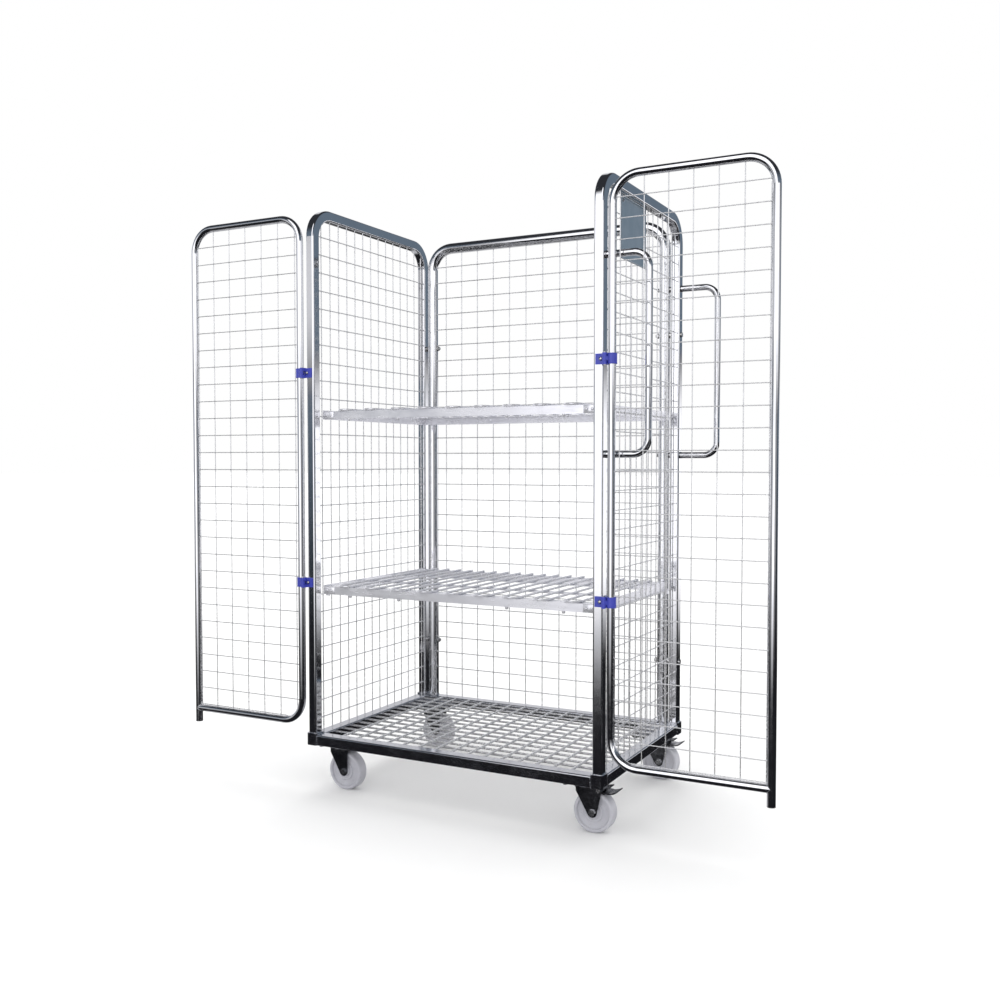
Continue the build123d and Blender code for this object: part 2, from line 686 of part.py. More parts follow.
def castor_wheel(cx, cy):
    """Solid polyamide wheel: rounded tread, thinner web, raised hub rings."""
    profile = [
        (AXLE_R + RUN_GAP, -HUB_HALF), (13, -HUB_HALF), (14.5, -16.5), (14.5, -13.5), (19, -13.5),
        (20, -15), (24, -15), (25.5, -12.5), (42, -12.5), (44.5, -WHEEL_HALF), (49, -WHEEL_HALF),
    ]
    mirrored = [(r, -y) for r, y in reversed(profile)]
    with BuildPart() as wheel:
        with BuildSketch(at(cx + TRAIL, cy, WHEEL_R, (0, 0, 1))):
            with BuildLine():
                Polyline(*profile)
                ThreePointArc((49, -WHEEL_HALF), (WHEEL_R - 1.1, -15), (WHEEL_R, -11.5))
                Line((WHEEL_R, -11.5), (WHEEL_R, 11.5))
                ThreePointArc((WHEEL_R, 11.5), (WHEEL_R - 1.1, 15), (49, WHEEL_HALF))
                Polyline(*mirrored)
                Line(mirrored[-1], profile[0])
            make_face()
        revolve(axis=Axis((cx + TRAIL, cy, WHEEL_R), (0, 1, 0)))
    return wheel


def castor_axle(cx, cy):
    x = cx + TRAIL
    with BuildPart() as axle:
        rod((x, cy - LEG_OUT, WHEEL_R), (x, cy + LEG_OUT + 7, WHEEL_R), AXLE_R)
        for side, length in ((-1, 4.5), (1, 5.5)):
            plane = at(x, cy + side * LEG_OUT, WHEEL_R, (0, side, 0))
            with BuildSketch(plane):
                RegularPolygon(NUT_R, 6)
            extrude(amount=length)
    return axle


def brake_pedal(cx, cy):
    """Two-leaf brake pedal on a cross barrel, with the shoe that presses on the tread."""
    px = cx + PEDAL_X
    with BuildPart() as pedal:
        rod((px, cy - 18.5, PEDAL_Z), (px, cy + 18.5, PEDAL_Z), 5.2)
        with BuildSketch(at(cx, cy - 18.5, 0, (0, 1, 0))):
            with BuildLine():
                Polyline(
                    (PEDAL_X, -105), (54, -104.5), (54, -101), (59, -101), (61, -103.5), (62, -104),
                    (62, -107), (PEDAL_X, -109), (PEDAL_X, -105),
                )
            make_face()
        extrude(amount=37)
        with BuildSketch(at(cx, cy - 22, 0, (0, 1, 0))):
            with BuildLine():
                Polyline(
                    (54.5, -104.5), (72, -103.5), (84, -106), (92, -110.5), (92, -113), (83, -109),
                    (72, -106.5), (54.5, -107.8), (54.5, -104.5),
                )
            make_face()
        extrude(amount=44)
        with BuildSketch(at(cx, cy - 18.5, 0, (0, 1, 0))):
            with BuildLine():
                Polyline(
                    (PEDAL_X, -112), (58, -114.5), (71, -117.5), (71, -119.8), (57, -117.3),
                    (PEDAL_X, -115), (PEDAL_X, -112),
                )
            make_face()
        extrude(amount=37)
        bore((px, cy - 20, PEDAL_Z), (px, cy + 20, PEDAL_Z), 3 + RUN_GAP)
    return pedal


def pedal_pin(cx, cy):
    px = cx + PEDAL_X
    with BuildPart() as pin:
        rod((px, cy - LEG_OUT - 1, PEDAL_Z), (px, cy + LEG_OUT + 1, PEDAL_Z), 3)
        for side in (-1, 1):
            y = cy + side * LEG_OUT
            rod((px, y, PEDAL_Z), (px, y + side * 2, PEDAL_Z), 5)
    return pin


for name, (sx, sy) in CASTORS.items():
    cx = sx * CASTOR_X
    cy = sy * CASTOR_Y
    save(castor_fork(cx, cy, sx > 0), "fork_" + name)
    save(castor_wheel(cx, cy), "wheel_" + name)
    save(castor_axle(cx, cy), "axle_" + name)
    if sx > 0:
        save(brake_pedal(cx, cy), "brake_pedal_" + name)
        save(pedal_pin(cx, cy), "pedal_pin_" + name)
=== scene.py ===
import json
import math
import random

import bmesh
import bpy
from mathutils import Matrix, Vector


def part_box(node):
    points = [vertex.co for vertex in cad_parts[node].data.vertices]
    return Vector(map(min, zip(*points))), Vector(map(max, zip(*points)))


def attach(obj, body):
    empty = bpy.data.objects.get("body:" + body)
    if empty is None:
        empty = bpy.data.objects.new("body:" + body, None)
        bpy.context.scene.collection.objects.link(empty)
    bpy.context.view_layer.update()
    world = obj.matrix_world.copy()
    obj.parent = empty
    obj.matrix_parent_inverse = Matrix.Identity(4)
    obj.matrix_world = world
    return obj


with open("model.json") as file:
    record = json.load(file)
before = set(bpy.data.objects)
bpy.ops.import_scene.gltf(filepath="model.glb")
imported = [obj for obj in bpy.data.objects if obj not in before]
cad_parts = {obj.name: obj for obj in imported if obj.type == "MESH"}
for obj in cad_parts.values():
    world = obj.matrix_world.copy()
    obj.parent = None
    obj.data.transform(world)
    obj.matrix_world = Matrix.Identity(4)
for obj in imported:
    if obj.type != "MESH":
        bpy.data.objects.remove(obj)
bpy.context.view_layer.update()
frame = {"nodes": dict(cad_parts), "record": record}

nodes = frame["nodes"]
random.seed(7)

# ---- camera: at eye height in front of the right corner, looking slightly down ----
CAMERA_PLACE = (1.4017, -2.6693, 0.9263)
CAMERA_YAW = math.radians(27.62)
CAMERA_PITCH = math.radians(-2.14)
CAMERA_LENS = 37.97

camera_data = bpy.data.cameras.new("camera")
camera_data.lens = CAMERA_LENS
camera_data.sensor_width = 36.0
camera = bpy.data.objects.new("camera", camera_data)
camera.location = CAMERA_PLACE
camera.rotation_euler = (math.pi / 2 + CAMERA_PITCH, 0, CAMERA_YAW)
bpy.context.scene.collection.objects.link(camera)
bpy.context.scene.camera = camera
bpy.context.scene.view_settings.view_transform = "Standard"


# ---- small helpers for node trees ----
class Tree:
    """Adds nodes to a node tree, with links given as inputs."""

    def __init__(self, tree):
        self.tree = tree
        tree.nodes.clear()

    def put(self, kind, inputs=None, **settings):
        node = self.tree.nodes.new(kind)
        for key, value in settings.items():
            setattr(node, key, value)
        for key, value in (inputs or {}).items():
            socket = node.inputs[key]
            if isinstance(value, bpy.types.NodeSocket):
                self.tree.links.new(value, socket)
            else:
                socket.default_value = value
        return node

    def math(self, operation, a, b=0.0, c=0.0, clamp=False):
        node = self.put("ShaderNodeMath", {0: a, 1: b, 2: c}, operation=operation, use_clamp=clamp)
        return node.outputs[0]

    def step(self, value, low, high, to_low=0.0, to_high=1.0):
        """A smooth step of value from low to high."""
        inputs = {"Value": value, "From Min": low, "From Max": high, "To Min": to_low, "To Max": to_high}
        return self.put("ShaderNodeMapRange", inputs, interpolation_type="SMOOTHSTEP").outputs[0]

    def noise(self, vector, scale, detail=3.0, rough=0.5):
        inputs = {"Vector": vector, "Scale": scale, "Detail": detail, "Roughness": rough}
        return self.put("ShaderNodeTexNoise", inputs).outputs[0]

    def mix(self, factor, a, b):
        node = self.put("ShaderNodeMix", {0: factor, 6: a, 7: b}, data_type="RGBA")
        return node.outputs[2]


# ---- studio: white to the eye and to matt surfaces, and a room of soft light for plating to mirror ----
# Light panels round the horizon, placed and dimmed as listed. Azimuth is clockwise from +Y, so 180 faces
# the front. Each panel is azimuth, half width and softness, then low and high elevation and softness, all
# in degrees, and strength.
PANELS = (
    (181.5, 26, 4, -9, 55, 5, 1.45),
    (229, 17, 4, 5, 14, 3.5, 0.70),
    (230, 8, 2, -9, 4, 4, 0.60),
    (128, 28, 6, 4, 17, 3, 1.25),
    (139, 20, 10, -8, 4, 4, 0.36),
    (80, 20, 8, 4, 14, 4, 0.45),
    (27, 19, 5, -8, 4, 3, 1.30),
    (334, 28, 8, 1, 42, 6, 0.75),
    (285, 24, 8, -6, 22, 5, 1.10),
    (312, 56, 12, -52, -16, 7, 0.50),
)
ROOM_FLOOR = (0.012, 0.012, 0.014, 1)
ROOM_WALL = (0.135, 0.175, 0.215, 1)
ROOM_ROOF = (0.03, 0.032, 0.036, 1)
PANEL_TINT = (1.0, 1.0, 1.04, 1)
WHITE = (1, 1, 1, 1)
SOFT_FILL = 1.16
SUN_POWER = 0.55
SUN_WIDTH = math.radians(34)
SUN_HEADING = (0.30, -0.42, -1.0)
FLOOR_GREY = (0.9, 0.9, 0.9, 1)
FLOOR_HALF = 60.0


def build_world():
    """White to the eye, a soft white fill to matt surfaces, and the panel room to mirroring ones."""
    world = bpy.data.worlds.new("studio")
    bpy.context.scene.world = world
    world.use_nodes = True
    # Sampling the world as a lamp would take the wrong branch of the ray mix below, so it's off.
    world.cycles.sampling_method = "NONE"
    t = Tree(world.node_tree)
    place = t.put("ShaderNodeTexCoord").outputs["Generated"]
    x, y, z = t.put("ShaderNodeSeparateXYZ", {0: place}).outputs
    height = t.math("ARCSINE", z)
    ring = t.math("SQRT", t.math("SUBTRACT", 1.0, t.math("MULTIPLY", z, z)))
    ring = t.math("MAXIMUM", ring, 0.001)
    east = t.math("DIVIDE", x, ring)
    north = t.math("DIVIDE", y, ring)

    def between(low, high, soft):
        """1 between two elevations, in degrees, with soft edges."""
        low, high, soft = (math.radians(v) for v in (low, high, soft))
        return t.math("MULTIPLY", t.step(height, low - soft, low + soft),
                      t.step(height, high - soft, high + soft, 1.0, 0.0))

    def near(azimuth, width, soft):
        """1 within width degrees of an azimuth, with soft edges."""
        turn = math.radians(azimuth)
        facing = t.math("ADD", t.math("MULTIPLY", east, math.sin(turn)),
                        t.math("MULTIPLY", north, math.cos(turn)))
        return t.step(facing, math.cos(math.radians(width + soft)),
                      math.cos(math.radians(max(width - soft, 0))))

    room = t.mix(t.step(height, math.radians(-10), math.radians(7)), ROOM_FLOOR, ROOM_WALL)
    room = t.mix(t.step(height, math.radians(16), math.radians(42)), room, ROOM_ROOF)
    glow = 0.0
    for azimuth, width, side_soft, low, high, soft, strength in PANELS:
        panel = t.math("MULTIPLY", between(low, high, soft), near(azimuth, width, side_soft))
        glow = t.math("MAXIMUM", glow, t.math("MULTIPLY", panel, strength))
    shine = t.put("ShaderNodeMix", {0: 1.0, 6: room, 7: glow}, data_type="RGBA", blend_type="LIGHTEN")
    light = t.put("ShaderNodeMix", {0: 1.0, 6: shine.outputs[2], 7: PANEL_TINT}, data_type="RGBA",
                  blend_type="MULTIPLY").outputs[2]
    path = t.put("ShaderNodeLightPath")
    seen = t.put("ShaderNodeBackground", {"Color": WHITE, "Strength": 1.0}).outputs[0]
    fill = t.put("ShaderNodeBackground", {"Color": WHITE, "Strength": SOFT_FILL}).outputs[0]
    mirrored = t.put("ShaderNodeBackground", {"Color": light, "Strength": 1.0}).outputs[0]
    matt = t.put("ShaderNodeMixShader", {0: path.outputs["Is Glossy Ray"], 1: fill, 2: mirrored}).outputs[0]
    both = t.put("ShaderNodeMixShader", {0: path.outputs["Is Camera Ray"], 1: matt, 2: seen}).outputs[0]
    t.put("ShaderNodeOutputWorld", {"Surface": both})


def build_sun():
    """A very wide sun from the upper back left: one soft shadow towards the front and right."""
    data = bpy.data.lights.new("sun", "SUN")
    data.energy = SUN_POWER
    data.angle = SUN_WIDTH
    lamp = bpy.data.objects.new("sun", data)
    lamp.rotation_euler = Vector(SUN_HEADING).to_track_quat("-Z", "Y").to_euler()
    lamp.visible_glossy = False
    bpy.context.scene.collection.objects.link(lamp)


def build_floor():
    """A wide matt floor for the shadow, kept out of what the plating mirrors."""
    mesh = bpy.data.meshes.new("floor")
    corners = [(x * FLOOR_HALF, y * FLOOR_HALF, 0) for x, y in ((-1, -1), (1, -1), (1, 1), (-1, 1))]
    mesh.from_pydata(corners, [], [(0, 1, 2, 3)])
    floor = bpy.data.objects.new("floor", mesh)
    bpy.context.scene.collection.objects.link(floor)
    material = bpy.data.materials.new("floor")
    material.use_nodes = True
    t = Tree(material.node_tree)
    shader = t.put("ShaderNodeBsdfDiffuse", {"Color": FLOOR_GREY})
    t.put("ShaderNodeOutputMaterial", {"Surface": shader.outputs[0]})
    mesh.materials.append(material)
    floor.visible_glossy = False


build_world()
build_sun()
build_floor()


# ---- materials ----
def plated(name, tint, cloud, rough, grain, streak=(1, 1, 1), bump=0.012, speck=0.1, metal=1.0):
    """Zinc plating: cloudy tint, fine grain in the gloss, faint ripples in the surface."""
    material = bpy.data.materials.new(name)
    material.use_nodes = True
    t = Tree(material.node_tree)
    place = t.put("ShaderNodeTexCoord").outputs["Object"]
    drawn = t.put("ShaderNodeMapping", {"Vector": place, "Scale": streak}).outputs[0]
    clouds = t.noise(place, 9.0, 4.0, 0.6)
    fine = t.noise(drawn, grain, 5.0, 0.65)
    color = t.mix(t.step(clouds, 0.32, 0.68), (*tint, 1), (*cloud, 1))
    color = t.mix(t.step(fine, 0.55, 0.85, 0.0, speck), color, tuple(0.7 * c for c in tint) + (1,))
    gloss = t.step(t.math("ADD", t.math("MULTIPLY", clouds, 0.4), t.math("MULTIPLY", fine, 0.6)),
                   0.3, 0.75, rough * 0.7, rough * 1.7)
    ripple = t.put("ShaderNodeBump", {"Height": fine, "Strength": bump, "Distance": 0.0006})
    shader = t.put("ShaderNodeBsdfPrincipled", {
        "Base Color": color, "Metallic": metal, "Roughness": gloss, "Normal": ripple.outputs[0],
    })
    t.put("ShaderNodeOutputMaterial", {"Surface": shader.outputs[0]})
    return material


def moulded(name, tint, shade, rough, grain, bump, coat=0.0, scatter=0.0):
    """Moulded or painted surface: slight colour drift, a fine texture and a few dull patches."""
    material = bpy.data.materials.new(name)
    material.use_nodes = True
    t = Tree(material.node_tree)
    place = t.put("ShaderNodeTexCoord").outputs["Object"]
    drift = t.noise(place, 14.0, 3.0, 0.55)
    fine = t.noise(place, grain, 4.0, 0.6)
    color = t.mix(t.step(drift, 0.3, 0.7), (*tint, 1), (*shade, 1))
    gloss = t.step(drift, 0.3, 0.75, rough * 0.85, rough * 1.25)
    dimple = t.put("ShaderNodeBump", {"Height": fine, "Strength": bump, "Distance": 0.0004})
    inputs = {"Base Color": color, "Roughness": gloss, "Normal": dimple.outputs[0],
              "Coat Weight": coat, "Coat Roughness": 0.08}
    if scatter:
        inputs["Subsurface Weight"] = scatter
        inputs["Subsurface Radius"] = (0.004, 0.004, 0.0045)
        inputs["Subsurface Scale"] = 1.0
    shader = t.put("ShaderNodeBsdfPrincipled", inputs)
    t.put("ShaderNodeOutputMaterial", {"Surface": shader.outputs[0]})
    return material


LOOKS = {
    "plated_tube": plated("tube_plating", (0.82, 0.83, 0.85), (0.89, 0.89, 0.90), 0.07, 90),
    "plated_wire": plated("wire_plating", (0.80, 0.80, 0.81), (0.90, 0.90, 0.91), 0.22, 160, metal=0.74),
    "shelf_steel": plated("shelf_plating", (0.84, 0.84, 0.89), (0.90, 0.90, 0.94), 0.20, 120,
                          streak=(0.15, 1, 1), bump=0.03, speck=0.16, metal=0.62),
    # Painted shade: the base is the same zinc as the tubes, but this copy of the plating has a darker tint.
    # It paints in the dark floor that the low rails mirror. The base's weld beads wear it too.
    "base_steel": plated("base_plating_painted_shade", (0.56, 0.57, 0.60), (0.66, 0.67, 0.70), 0.11, 80),
    # Painted shade: the castor parts are the same zinc plating, tinted near black to paint in the dark floor
    # they mirror. The pedal ribs wear it too.
    "castor_steel": plated("castor_plating_painted_shade", (0.27, 0.275, 0.29), (0.34, 0.345, 0.36), 0.15, 110,
                           bump=0.03, speck=0.16),
    "fastener_steel": plated("fastener_plating", (0.62, 0.62, 0.63), (0.74, 0.73, 0.71), 0.2, 260,
                             bump=0.03, speck=0.2),
    "blue_clip": moulded("blue_nylon", (0.036, 0.048, 0.37), (0.046, 0.060, 0.43), 0.32, 900,
                         bump=0.12, coat=0.2),
    "wheel_polyamide": moulded("pale_polyamide", (0.46, 0.46, 0.505), (0.53, 0.53, 0.575), 0.42, 700,
                               bump=0.2, scatter=0.12),
    "sign_grey": moulded("slate_enamel", (0.135, 0.178, 0.222), (0.165, 0.208, 0.255), 0.16, 420,
                         bump=0.05, coat=0.6),
    "plug_plastic": moulded("black_plastic", (0.018, 0.018, 0.020), (0.03, 0.03, 0.032), 0.40, 800,
                            bump=0.2),
}

slot_of = {part["node"]: part["material_slot"] for part in frame["record"]["subparts"]}
for name, node in nodes.items():
    node.data.materials.clear()
    node.data.materials.append(LOOKS[slot_of[name]])


# ---- places that the pieces below share, in metres; x is given for the cage's right-hand side ----
SIDES = ((-1, "left"), (1, "right"))
CORNERS = [(sx, sy) for sx in (-1, 1) for sy in (-1, 1)]
ROW_LEVELS = [0.200 + 0.050 * k for k in range(28)]
SIDE_COLUMN_PLACES = [-0.263 + 0.526 / 13 * k for k in range(14)]
BACK_COLUMN_PLACES = [0.0575 * (k - 6) for k in range(13)]
SIDE_MESH_X = 0.422
BACK_X, BACK_Y = 0.394, 0.292
DOOR_Y = -0.304
HINGE_TUBE_X, FREE_TUBE_X = 0.466, 0.854
DOOR_COLUMN_PLACES = [HINGE_TUBE_X + 0.0192 + 0.0595 * k for k in range(7)]
HINGE_LEVELS = (0.585, 1.170)
HANDLE_PLACES = (-0.284, 0.292)
HANDLE_LEVELS = (0.942, 1.422)
HANDLE_END_X = 0.4446
RAIL_TOP, GUSSET_TOP, CASTOR_PLATE_UNDER = 0.156, 0.130, 0.122
CASTOR_X, CASTOR_Y = 0.377, 0.250
CASTOR_TRAIL, AXLE_LEVEL = 0.028, 0.053


# ---- mesh helpers for the detail pieces ----
def finish_piece(name, bm, body, slot, crease=35):
    """Turns a bmesh into a piece that rides on a CAD body and wears a slot's finish."""
    mesh = bpy.data.meshes.new(name)
    bmesh.ops.recalc_face_normals(bm, faces=bm.faces)
    bm.to_mesh(mesh)
    bm.free()
    mesh.shade_smooth()
    mesh.set_sharp_from_angle(angle=math.radians(crease))
    mesh.materials.append(LOOKS[slot])
    piece = bpy.data.objects.new(name, mesh)
    bpy.context.scene.collection.objects.link(piece)
    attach(piece, body)
    return piece


def skin(bm, loops, sectors):
    """Faces between rings of vertices; a ring of one vertex is a tip."""
    for low, high in zip(loops, loops[1:]):
        for k in range(sectors):
            ring = [low[k % len(low)], low[(k + 1) % len(low)],
                    high[(k + 1) % len(high)], high[k % len(high)]]
            bm.faces.new(list(dict.fromkeys(ring)))


def ball(bm, centre, radii, sectors=8, rings=5):
    """A squashed sphere with its three radii."""
    loops = []
    for j in range(rings + 1):
        tilt = math.pi * j / rings
        flat = math.sin(tilt)
        turns = [0.0] if j in (0, rings) else [math.tau * k / sectors for k in range(sectors)]
        loops.append([bm.verts.new((
            centre[0] + radii[0] * flat * math.cos(a),
            centre[1] + radii[1] * flat * math.sin(a),
            centre[2] + radii[2] * math.cos(tilt),
        )) for a in turns])
    skin(bm, loops, sectors)


def across(axis):
    """Two unit vectors square to an axis."""
    axis = Vector(axis).normalized()
    first = axis.cross(Vector((0, 0, 1) if abs(axis.z) < 0.9 else (0, 1, 0))).normalized()
    return first, axis.cross(first)


def turned(bm, place, axis, profile, sectors=24):
    """A turned solid: profile lists (distance along the axis, radius); a radius of 0 closes it."""
    axis = Vector(axis).normalized()
    first, second = across(axis)
    loops = []
    for along, radius in profile:
        centre = Vector(place) + axis * along
        if radius == 0:
            loops.append([bm.verts.new(centre)])
            continue
        loops.append([
            bm.verts.new(centre + (first * math.cos(a) + second * math.sin(a)) * radius)
            for a in (math.tau * k / sectors for k in range(sectors))
        ])
    skin(bm, loops, sectors)


def bead(bm, corners, radius, closed=False, ripple=0.0024, sides=6):
    """A weld bead along a run of points: a thin tube that swells and narrows with each ripple."""
    corners = [Vector(p) for p in corners]
    if closed:
        corners.append(corners[0])
    points = []
    for start, end in zip(corners, corners[1:]):
        steps = max(1, round((end - start).length / ripple * 2))
        points += [start.lerp(end, k / steps) for k in range(steps)]
    if not closed:
        points.append(corners[-1])
    count = len(points)
    loops = []
    for k, point in enumerate(points):
        before = points[k - 1] if closed or k else point
        after = points[(k + 1) % count] if closed or k < count - 1 else point
        first, second = across(after - before)
        swell = radius * (1.15 if k % 2 else 0.82) * random.uniform(0.9, 1.1)
        loops.append([
            bm.verts.new(point + (first * math.cos(a) + second * math.sin(a)) * swell)
            for a in (math.tau * j / sides for j in range(sides))
        ])
    pairs = list(zip(loops, loops[1:] + loops[:1]))
    for low, high in pairs if closed else pairs[:-1]:
        # Neighbouring rings may start at different corners: join the nearest ones.
        shift = min(range(sides), key=lambda j: (high[j].co - low[0].co).length)
        for j in range(sides):
            bm.faces.new((low[j], low[(j + 1) % sides], high[(j + 1 + shift) % sides],
                          high[(j + shift) % sides]))
    if not closed:
        bm.faces.new(loops[0])
        bm.faces.new(loops[-1])


def circle(centre, axis, radius, count=48):
    """Points round a circle square to an axis."""
    first, second = across(axis)
    return [Vector(centre) + (first * math.cos(a) + second * math.sin(a)) * radius
            for a in (math.tau * k / count for k in range(count))]


def bar(bm, low, high, round_off=0.0):
    """A box between two corners, with its edges rounded off."""
    size = [high[k] - low[k] for k in range(3)]
    middle = [(high[k] + low[k]) / 2 for k in range(3)]
    matrix = Matrix.Translation(middle) @ Matrix.Diagonal((*size, 1))
    made = bmesh.ops.create_cube(bm, size=1, matrix=matrix)
    if round_off:
        edges = list(dict.fromkeys(edge for vert in made["verts"] for edge in vert.link_edges))
        bmesh.ops.bevel(bm, geom=edges, offset=round_off, segments=2, affect="EDGES", profile=0.5)


# ---- weld nuggets where the wires of each mesh cross ----
def nuggets(name, body, spots, squash):
    """One squashed ball of weld at each spot."""
    bm = bmesh.new()
    for spot in spots:
        ball(bm, spot, squash)
    finish_piece(name, bm, body, "plated_wire")


for side, word in SIDES:
    nuggets("side_welds_" + word, "cage",
            [(side * SIDE_MESH_X, y, z) for y in SIDE_COLUMN_PLACES for z in ROW_LEVELS],
            (0.0011, 0.0023, 0.0023))
    nuggets("door_welds_" + word, "door_" + word,
            [(side * x, DOOR_Y, z) for x in DOOR_COLUMN_PLACES for z in ROW_LEVELS],
            (0.0020, 0.0009, 0.0020))
nuggets("back_welds", "cage", [(x, BACK_Y, z) for x in BACK_COLUMN_PLACES for z in ROW_LEVELS],
        (0.0023, 0.0011, 0.0023))

# ---- weld beads of the base, the back frame and the doors ----
SOCKET_IN_X, SOCKET_IN_Y, SOCKET_TOP = 0.414, 0.272, 0.160
RAIL_IN_X, RAIL_IN_Y = 0.410, 0.272
RAIL_OUT_X, RAIL_OUT_Y = 0.446, 0.308
POST_MIN, POST_MAX = (0.418, 0.276), (0.444, 0.306)
POST_CORNER = 0.004
BEAD = 0.0015


def post_outline():
    """The post's section with its corners cut off, at the corner where x and y are positive."""
    (x0, y0), (x1, y1), r = POST_MIN, POST_MAX, POST_CORNER
    return [(x0, y0 + r), (x0, y1 - r), (x0 + r, y1), (x1 - r, y1),
            (x1, y1 - r), (x1, y0 + r), (x1 - r, y0), (x0 + r, y0)]


def saddle(side, count=40):
    """Where the coped end of the door's bottom rail meets the free tube."""
    tube, loop, level = 0.0100, 0.0101, 0.187
    points = []
    for k in range(count):
        a = math.tau * k / count
        reach = math.sqrt(loop ** 2 - (tube * math.sin(a)) ** 2)
        points.append((side * (FREE_TUBE_X - reach), DOOR_Y + tube * math.sin(a), level + loop * math.cos(a)))
    return points


RAIL_BEADS = (
    # Up the outer face of the long rail and over its top, where it meets the socket.
    ((SOCKET_IN_X, RAIL_OUT_Y, 0.130), (SOCKET_IN_X, RAIL_OUT_Y, 0.152)),
    ((SOCKET_IN_X, 0.304, RAIL_TOP), (SOCKET_IN_X, 0.276, RAIL_TOP)),
    # The same on the side rail.
    ((RAIL_OUT_X, SOCKET_IN_Y, 0.130), (RAIL_OUT_X, SOCKET_IN_Y, 0.152)),
    ((0.442, SOCKET_IN_Y, RAIL_TOP), (0.416, SOCKET_IN_Y, RAIL_TOP)),
    # Along the two edges of the gusset that lie against the rails.
    ((0.330, RAIL_IN_Y, GUSSET_TOP), (0.405, RAIL_IN_Y, GUSSET_TOP)),
    ((RAIL_IN_X, 0.268, GUSSET_TOP), (RAIL_IN_X, 0.204, GUSSET_TOP)),
)
bm = bmesh.new()
for sx in (-1, 1):
    for sy in (-1, 1):
        # Round the post, where it enters its socket.
        bead(bm, [(sx * x, sy * y, SOCKET_TOP + 0.0002) for x, y in post_outline()], 0.0014, True)
        for run in RAIL_BEADS:
            bead(bm, [(sx * x, sy * y, z) for x, y, z in run], BEAD)
    # Round the back frame's tube, where it stands on the rail.
    bead(bm, circle((sx * BACK_X, BACK_Y, RAIL_TOP + 0.0005), (0, 0, 1), 0.0166), 0.0016, True)
finish_piece("frame_weld_beads", bm, "cage", "base_steel", 60)

for side, word in SIDES:
    bm = bmesh.new()
    bead(bm, saddle(side), 0.0010, True, 0.0018)
    finish_piece("door_weld_bead_" + word, bm, "door_" + word, "plated_tube", 60)

# ---- wire ends welded to the frames: not the top row's, nor the doors' lowest two rows' ----
SIDE_ROW_END_X, SIDE_ROW_END_Y = 0.4205, 0.2762
BACK_ROW_END_X, BACK_ROW_END_Y = 0.3777, 0.2905
DOOR_ROW_ENDS_X, DOOR_ROW_END_Y = (0.4762, 0.8438), -0.30525
bm = bmesh.new()
for sx in (-1, 1):
    for sy in (-1, 1):
        for z in ROW_LEVELS[:-1]:
            ball(bm, (sx * SIDE_ROW_END_X, sy * SIDE_ROW_END_Y, z), (0.0020, 0.0012, 0.0020))
    for z in ROW_LEVELS[:-1]:
        ball(bm, (sx * BACK_ROW_END_X, BACK_ROW_END_Y, z), (0.0012, 0.0020, 0.0020))
finish_piece("wire_end_welds_cage", bm, "cage", "plated_wire")
for side, word in SIDES:
    bm = bmesh.new()
    for z in ROW_LEVELS[2:-1]:
        for x in DOOR_ROW_ENDS_X:
            ball(bm, (side * x, DOOR_ROW_END_Y, z), (0.0010, 0.0018, 0.0018))
    finish_piece("wire_end_welds_door_" + word, bm, "door_" + word, "plated_wire")

# ---- castor bolts: domed heads on the gussets, hex heads with washers under the plates ----
DOME = [(0, 0.0078), (0.0008, 0.0084), (0.0022, 0.0080), (0.0036, 0.0062), (0.0044, 0.0032), (0.0046, 0)]
WASHER = [(0, 0), (0, 0.0082), (0.0003, 0.0085), (0.0010, 0.0085), (0.0013, 0.0081), (0.0013, 0)]
HEX_HEAD = [(0.0013, 0), (0.0013, 0.0068), (0.0036, 0.0068), (0.0042, 0.0060), (0.0043, 0)]
BOLT_DX, BOLT_DY = 0.040, 0.032
bm = bmesh.new()
for sx, sy in CORNERS:
    # Only the innermost bolt comes up through the gusset. The other three end under the rails.
    inner = (sx * (CASTOR_X - BOLT_DX), sy * (CASTOR_Y - BOLT_DY), GUSSET_TOP)
    turned(bm, inner, (0, 0, 1), [(0, 0)] + DOME)
    for dx in (-BOLT_DX, BOLT_DX):
        for dy in (-BOLT_DY, BOLT_DY):
            spot = (sx * CASTOR_X + dx, sy * CASTOR_Y + dy, CASTOR_PLATE_UNDER)
            turned(bm, spot, (0, 0, -1), WASHER)
            turned(bm, spot, (0, 0, -1), HEX_HEAD, 6)
finish_piece("castor_bolts", bm, "cage", "fastener_steel", 28)

# ---- sign plate: a rolled hem all round and a rivet near each corner ----
HEM_R, HEM_INSET = 0.0014, 0.0022
RIVET = [(0, 0), (0, 0.0042), (0.0007, 0.0043), (0.0016, 0.0036), (0.0022, 0.0020), (0.0023, 0.0012),
         (0.0017, 0.0009), (0.0016, 0)]
RIVET_INSET = 0.014
low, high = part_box("sign_plate")
face = high[0]
bm = bmesh.new()
hem = [(face, y, z) for y, z in (
    (low[1] + HEM_INSET, low[2] + HEM_INSET), (high[1] - HEM_INSET, low[2] + HEM_INSET),
    (high[1] - HEM_INSET, high[2] - HEM_INSET), (low[1] + HEM_INSET, high[2] - HEM_INSET))]
for start, end in zip(hem, hem[1:] + hem[:1]):
    run = Vector(end) - Vector(start)
    turned(bm, start, run, [(0, 0), (0, HEM_R), (run.length, HEM_R), (run.length, 0)], 10)
for corner in hem:
    ball(bm, corner, (HEM_R, HEM_R, HEM_R), 10, 6)
finish_piece("sign_hem", bm, "cage", "sign_grey")
bm = bmesh.new()
for y in (low[1] + RIVET_INSET, high[1] - RIVET_INSET):
    for z in (low[2] + RIVET_INSET, high[2] - RIVET_INSET):
        turned(bm, (face, y, z), (1, 0, 0), RIVET, 20)
finish_piece("sign_rivets", bm, "cage", "fastener_steel", 50)

